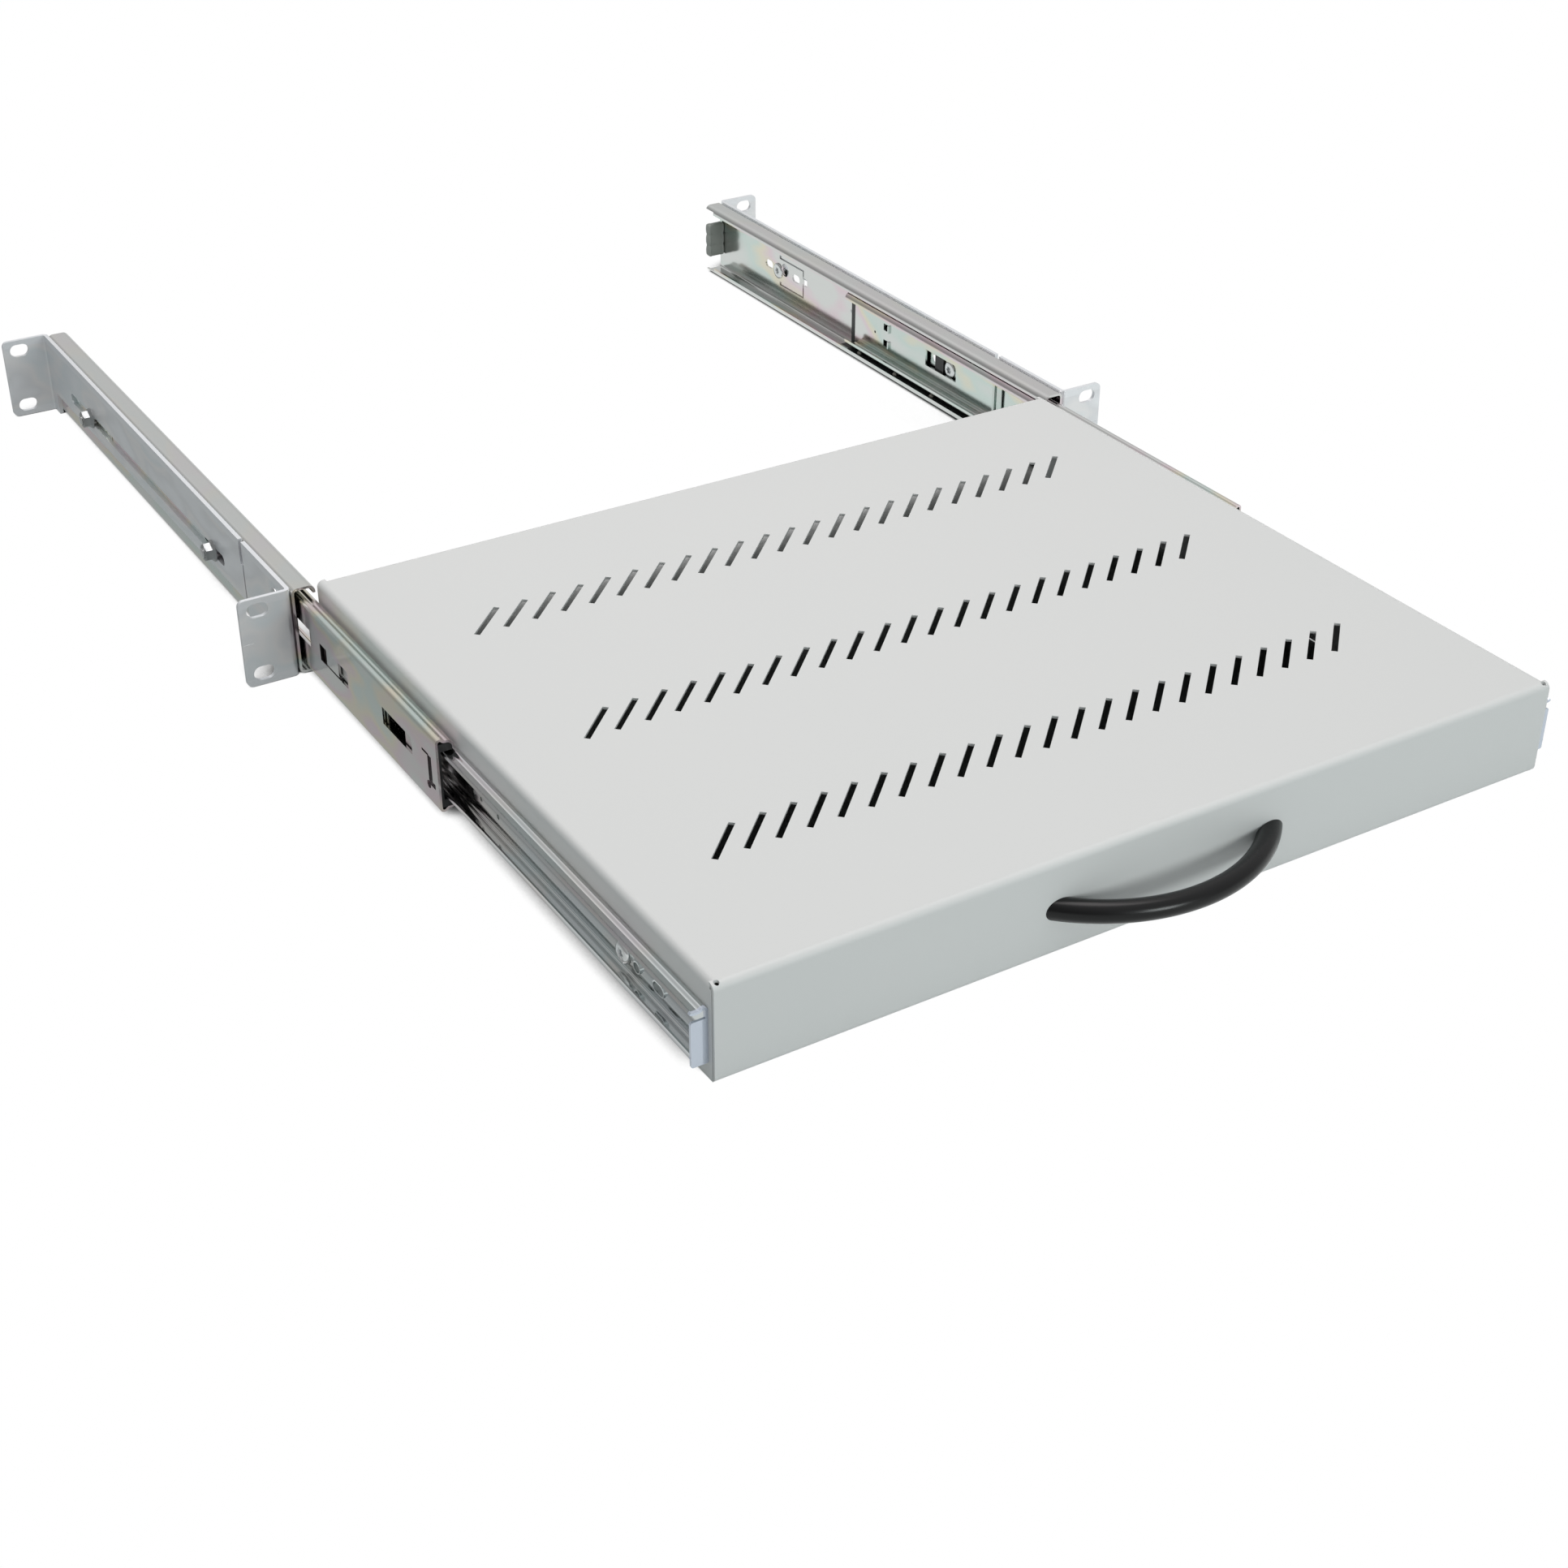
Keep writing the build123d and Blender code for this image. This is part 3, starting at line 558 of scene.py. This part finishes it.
# Rear buffers
# Blocks of grey rubber, moulded with three soft lobes and pushed over the stop tabs. The lobes give
# way one after the other when the middle member hits them.
rubber_colour = (0.30, 0.32, 0.295)
rubber_dust = (0.35, 0.37, 0.345)
rubber_polish = 0.55
rubber_grain_size = 1500.0
lobe_count = 3
lobe_depth = 0.0006
deepest_dip = 0.6
cap_rounding = 0.99
buffer_rows = 72
buffer_sides = 64
buffer_squareness = 0.22
buffer_cap = 0.0012
buffer_crease = 60.0
face_rim = 0.0004
face_share = 0.8


def lobed_buffer(side, finish):
    """A rounded block, ring over ring in Z. A ring is the superellipse x = w c^k, y = d s^k, and w
    and d dip between the lobes with 1 - |sin|^(1/2) and shrink as a quarter circle at both ends."""
    low, high = (np.array(corner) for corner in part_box("rear_buffer_" + side))
    middle = (low + high) / 2
    half = (high - low) / 2
    height = np.linspace(-1, 1, buffer_rows)[:, None]
    around = np.linspace(0, 2 * math.pi, buffer_sides, endpoint=False)[None, :]
    waist = lobe_depth * (1 - np.abs(np.sin(lobe_count * math.pi * (height + 1) / 2)) ** 0.5)
    end = np.clip((np.abs(height) - 1 + buffer_cap / half[2]) * half[2] / buffer_cap, 0, 1)
    inset = np.minimum(waist, lobe_depth * deepest_dip)
    inset = inset + buffer_cap * (1 - np.sqrt(1 - end**2 * cap_rounding))
    across = np.sign(np.cos(around)) * np.abs(np.cos(around)) ** buffer_squareness
    deep = np.sign(np.sin(around)) * np.abs(np.sin(around)) ** buffer_squareness
    x = middle[0] + (half[0] - inset) * across
    y = middle[1] + (half[1] - inset - face_rim * (np.abs(across) < face_share)) * deep
    z = middle[2] + half[2] * height + 0 * around
    points = np.stack([x, y, z], axis=-1)
    faces = grid_faces(buffer_rows, buffer_sides)
    piece = mesh_piece("lobed_buffer_" + side, points, faces, finish, buffer_crease)
    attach(piece, "rails")
    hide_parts("rear_buffer_" + side)


grey_rubber = moulded("grey_rubber", rubber_colour, rubber_dust, rubber_polish, rubber_grain_size)
for side in ("left", "right"):
    lobed_buffer(side, grey_rubber)

# Balls
# Hardened and polished chrome steel, in two rows of five in each cage. The outer rows sit in grease,
# which dulls and darkens them.
ball_sizes = {"outer": 0.00397, "inner": 0.00476}
ball_rings = 15
ball_sides = 24
balls_in_row = 5
pole = 0.12
greased_colour = (0.20, 0.19, 0.17)
greased_roughness = 0.35
steel_colour = (0.74, 0.74, 0.75)
steel_roughness = 0.04
smear_size = 300.0
smear_haze = 0.06


def ball_finish(name, colour, roughness):
    material, shader, surface, place = new_finish(name, Metallic=1.0, Base_Color=colour)
    smear = noise(shader, place, smear_size, detail=2.0)
    shader.feed(surface.inputs["Roughness"], smear * smear_haze + roughness)
    return material


def ball(dia):
    """Rings of a sphere about Z, from just beside one pole to just beside the other."""
    rise = np.linspace(pole, math.pi - pole, ball_rings)[:, None]
    around = np.linspace(0, 2 * math.pi, ball_sides, endpoint=False)[None, :]
    girth = dia / 2 * np.sin(rise)
    return np.stack([
        girth * np.cos(around),
        girth * np.sin(around),
        -dia / 2 * np.cos(rise) + 0 * around,
    ], axis=-1)


def joined(name, copies, faces, finish):
    """One mesh of many copies of a shape, which share one list of faces."""
    count = copies[0].reshape(-1, 3).shape[0]
    points = np.concatenate([copy.reshape(-1, 3) for copy in copies])
    all_faces = [face + count * number for number in range(len(copies)) for face in faces]
    return mesh_piece(name, points, all_faces, finish)


def ball_rows(race, side, finish):
    node = f"{race}_balls_{side}"
    low, high = (np.array(corner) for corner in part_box(node))
    flats = (high[0] - low[0]) / 2
    middle = (low + high) / 2
    places = [
        (middle[0], y, z)
        for y in np.linspace(low[1] + flats, high[1] - flats, balls_in_row)
        for z in (low[2] + flats, high[2] - flats)
    ]
    one = ball(ball_sizes[race])
    copies = [one + np.array(place) for place in places]
    faces = grid_faces(ball_rings, ball_sides)
    piece = joined(f"{race}_ball_rows_{side}", copies, faces, finish)
    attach(piece, f"{race}_cage_{side}")
    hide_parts(node)


ball_finishes = {
    "outer": ball_finish("greased_steel", greased_colour, greased_roughness),
    "inner": ball_finish("ball_steel", steel_colour, steel_roughness),
}
for race, finish in ball_finishes.items():
    for side in ("left", "right"):
        ball_rows(race, side, finish)

# Tray screws
# Four pan-head screws with a six-lobed drive, cold-headed and thread-rolled in steel, bright zinc
# plated. They hold the inner members flat against the tray's sides.
screw_dia = 0.005
thread_pitch = 0.0008
thread_depth = 0.00045
rings_a_pitch = 8
screw_sides = 48
head_dia = 0.0096
tray_screw_head = 0.0022
drive_radius = 0.00185
drive_lobe = 0.00038
drive_depth = 0.0013
heart = 0.0003
tip_length = 0.0004
tip_width = 0.72
tip_shoulder = 0.94
thread_start = 0.0006
thread_run_out = 0.0002
head_rim = 0.0001
head_upright = 0.25
crown_share = 0.60
crown_rings = 10
drive_edge = 0.0002
drive_mouth = (0.00004, 0.00012)
drive_taper = 0.92
drive_point = 0.0003
plated_warm = (0.67, 0.66, 0.64)
plated_cool = (0.63, 0.67, 0.70)
plated_roughness = 0.10
tint_size = 150.0
plated_haze_size = 900.0
plated_haze = 0.14
plated_height = 0.00002
plated_strength = 0.3


def fastener_zinc(name, warm, cool, roughness):
    """Zinc with faint tints and a fine haze."""
    material, shader, surface, place = new_finish(name, Metallic=1.0)
    tint = noise(shader, place, tint_size, detail=2.0)
    haze = noise(shader, place, plated_haze_size)
    shader.feed(surface.inputs["Base Color"], blend(shader, tint, warm, cool))
    shader.feed(surface.inputs["Roughness"], haze * plated_haze + roughness)
    shader.feed(surface.inputs["Normal"], bump(shader, haze, plated_height, plated_strength))
    return material


def rings(profile, sides):
    """Rings about an axis, as (along, radius) of each: a radius may differ from point to point."""
    around = np.linspace(0, 2 * math.pi, sides, endpoint=False)
    along = np.stack([np.full(sides, 0.0) + place for place, _ in profile])
    radius = np.stack([np.full(sides, 0.0) + reach for _, reach in profile])
    return np.stack([along, radius * np.cos(around), radius * np.sin(around)], axis=-1)


def thread(start, end, dia, sides):
    """Rings of a screw thread: the radius is a wave of the place along the axis less the angle, and
    runs out at both ends."""
    count = max(3, round((end - start) / thread_pitch * rings_a_pitch))
    around = np.linspace(0, 2 * math.pi, sides, endpoint=False)
    profile = []
    for place in np.linspace(start, end, count):
        depth = thread_depth * min(1, (place - start) / thread_pitch, (end - place) / thread_pitch)
        wave = 0.5 + 0.5 * np.cos(2 * math.pi * place / thread_pitch - around)
        profile.append((place, dia / 2 - depth * wave))
    return profile


def lobed(radius, lobe, count, sides):
    """Radius of a drive recess, which swells and shrinks with the cosine of its lobes."""
    return radius + lobe * np.cos(count * np.linspace(0, 2 * math.pi, sides, endpoint=False))


def headed_screw(length, dia, head_dia, head, recess, sides):
    """Rings from the tip to the crown: a chamfered tip, the thread, the flat under the head, a
    rounded rim, a low dome, and the recess back to its floor."""
    rim = head_dia / 2
    top = length + head
    dome = [
        (
            length + head * (head_upright + (1 - head_upright) * math.sin(turn)),
            rim * (crown_share + (1 - crown_share) * math.cos(turn)),
        )
        for turn in np.linspace(0, math.pi / 2, crown_rings)
    ]
    return rings([
        (0.0, tip_width * dia / 2),
        (tip_length, tip_shoulder * dia / 2),
        *thread(thread_start, length - thread_run_out, dia, sides),
        (length, dia / 2),
        (length, rim - head_rim),
        (length + head_rim, rim),
        *dome,
        (top - drive_mouth[0], recess + drive_mouth[1]),
        (top - drive_edge, recess),
        (top - drive_depth, recess * drive_taper),
        (top - drive_depth - drive_point, heart),
    ], sides)


def aimed(points, heading, place):
    """Turns a shape, made along X, about Z to a heading, and moves it to its place."""
    cosine, sine = math.cos(heading), math.sin(heading)
    x = points[..., 0] * cosine - points[..., 1] * sine
    y = points[..., 0] * sine + points[..., 1] * cosine
    return np.stack([x, y, points[..., 2]], axis=-1) + np.array(place)


def in_all_corners(node, across, one, reach, outward):
    """Copies of a shape at the four places of a node's solids, two on either slide. Their own origin
    lies at a distance from the middle plane, and they point outwards or inwards."""
    low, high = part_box(node)
    height = (low[2] + high[2]) / 2
    copies = []
    for side in (1, -1):
        heading = 0.0 if (side > 0) == outward else math.pi
        for y in (low[1] + across / 2, high[1] - across / 2):
            copies.append(aimed(one, heading, (side * reach, y, height)))
    return copies


def fastener_piece(name, copies, faces, finish, body, node):
    piece = joined(name, copies, faces, finish)
    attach(piece, body)
    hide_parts(node)


plated = fastener_zinc("bright_zinc", plated_warm, plated_cool, plated_roughness)
six_lobes = lobed(drive_radius, drive_lobe, 6, screw_sides)
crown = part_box("tray_screws")[1][0]
tray_screw_length = 0.0071
screw = headed_screw(tray_screw_length, screw_dia, head_dia, tray_screw_head, six_lobes, screw_sides)
fastener_piece(
    "pan_head_screws",
    in_all_corners("tray_screws", head_dia, screw, crown - tray_screw_length - tray_screw_head, True),
    grid_faces(len(screw), screw_sides), plated, "shelf", "tray_screws",
)

# Clamp screws and nuts of the rear brackets
# The screws have low heads, which the ball cages clear, and stand out through the long slots. Each
# carries a hexagon nut with a pressed flange, which clamps the bracket to the rail.
clamp_head = 0.0011
flange_dia = 0.011
flange_height = 0.001
nut_height = 0.004
nut_flats = 0.008
nut_bore = 0.0051
nut_chamfer = 0.0039
nut_sides = 96
serrations = 24
serration_depth = 0.00008
corner_slope = math.tan(math.radians(30))
bore_chamfer = 0.0004
nut_top_inset = 0.00005
nut_corner_drop = 0.00003
flange_fillet = ((0.0006, 0.0), (0.0003, 0.0002))
flange_edge = ((0.0006, -0.0002), (0.0003, 0.0), (0.0, -0.0001))
nut_warm = (0.36, 0.36, 0.35)
nut_cool = (0.34, 0.37, 0.39)
nut_roughness = 0.26
head_sunk = 0.0012

bracket_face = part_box("rear_bracket_nuts")[1][0] - nut_height - flange_height
clamp_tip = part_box("rear_bracket_screws")[1][0]
clamp_length = clamp_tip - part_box("outer_member_right")[1][0] + head_sunk
clamp_screw = headed_screw(clamp_length, screw_dia, head_dia, clamp_head, six_lobes, screw_sides)
fastener_piece(
    "clamp_screws",
    in_all_corners("rear_bracket_screws", head_dia, clamp_screw, clamp_tip, False),
    grid_faces(len(clamp_screw), screw_sides), plated, "rails", "rear_bracket_screws",
)


def flange_nut():
    """Rings of a closed band: up the bore, over the chamfered top, down the six flats, out over the
    dished flange and back under it. The flats' radius is the apothem over the cosine of the angle
    to the nearest flat, and a cone trims their corners at the top."""
    around = np.linspace(0, 2 * math.pi, nut_sides, endpoint=False)
    to_flat = (around + math.pi / 6) % (math.pi / 3) - math.pi / 6
    flats = nut_flats / 2 / np.cos(to_flat)
    top = flange_height + nut_height
    trimmed = np.minimum(flats, nut_chamfer)
    shoulder = top - np.maximum(flats - nut_chamfer, 0) * corner_slope
    foot = flange_dia / 2 - serration_depth * (0.5 + 0.5 * np.cos(serrations * around))
    bore = nut_bore / 2
    return rings([
        (0.0, bore),
        (top - bore_chamfer, bore),
        (top, bore + bore_chamfer),
        (top, trimmed - nut_top_inset),
        (shoulder - nut_corner_drop, flats),
        *[(flange_height + rise, flats + out) for rise, out in flange_fillet],
        *[(rise, foot + out) for rise, out in flange_edge],
    ], nut_sides)


nut = flange_nut()
fastener_piece(
    "flange_nuts",
    in_all_corners("rear_bracket_nuts", flange_dia, nut, bracket_face, True),
    [face[::-1] for face in grid_faces(len(nut), nut_sides, closed=True)],
    fastener_zinc("nut_zinc", nut_warm, nut_cool, nut_roughness), "rails", "rear_bracket_nuts",
)

# Rivets of the front brackets
# Solid dome-head rivets, two to a bracket, driven through the bracket and the rail behind the ear.
rivet_dia = 0.004
rivet_head_dia = 0.0075
rivet_head = 0.0016
rivet_grip = 0.0032
rivet_sides = 40
rivet_upright = 0.25
rivet_rim = 0.0001
rivet_rings = 12
crown_gap = 0.08


def rivet():
    """Rings from the shank's end to the crown of a dome with an upright rim."""
    rim = rivet_head_dia / 2
    dome = [
        (
            rivet_grip + rivet_head * (rivet_upright + (1 - rivet_upright) * math.sin(turn)),
            rim * math.cos(turn),
        )
        for turn in np.linspace(0, math.pi / 2 - crown_gap, rivet_rings)
    ]
    return rings([
        (0.0, rivet_dia / 2),
        (rivet_grip, rivet_dia / 2),
        (rivet_grip, rim - rivet_rim),
        (rivet_grip + rivet_rim, rim),
        *dome,
    ], rivet_sides)


def rivet_places():
    """Above and below the middle at each end of the node's box."""
    low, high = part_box("front_bracket_rivets")
    y = (low[1] + high[1]) / 2
    rise = high[2] - rivet_head_dia / 2
    seat = high[0] - rivet_head - rivet_grip
    return [(side, (side * seat, y, z)) for side in (1, -1) for z in (rise, -rise)]


one_rivet = rivet()
fastener_piece(
    "dome_rivets",
    [aimed(one_rivet, 0.0 if side > 0 else math.pi, place) for side, place in rivet_places()],
    grid_faces(len(one_rivet), rivet_sides), plated, "rails", "front_bracket_rivets",
)

# Handle screws
# Two pan-head screws with a cross recess, put through the panel from behind into the handle's feet.
handle_screw_dia = 0.004
handle_screw_head_dia = 0.0075
handle_screw_head = 0.0024
cross_radius = 0.0011
cross_lobe = 0.00065

low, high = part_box("handle_screws")
handle_screw_length = high[1] - low[1] - handle_screw_head
cross = lobed(cross_radius, cross_lobe, 4, screw_sides)
rear_screw = headed_screw(
    handle_screw_length, handle_screw_dia, handle_screw_head_dia, handle_screw_head, cross, screw_sides
)
handle_screw_x = high[0] - handle_screw_head_dia / 2
fastener_piece(
    "cross_head_screws",
    [
        aimed(rear_screw, math.pi / 2, (x, low[1], (low[2] + high[2]) / 2))
        for x in (handle_screw_x, -handle_screw_x)
    ],
    grid_faces(len(rear_screw), screw_sides), plated, "shelf", "handle_screws",
)
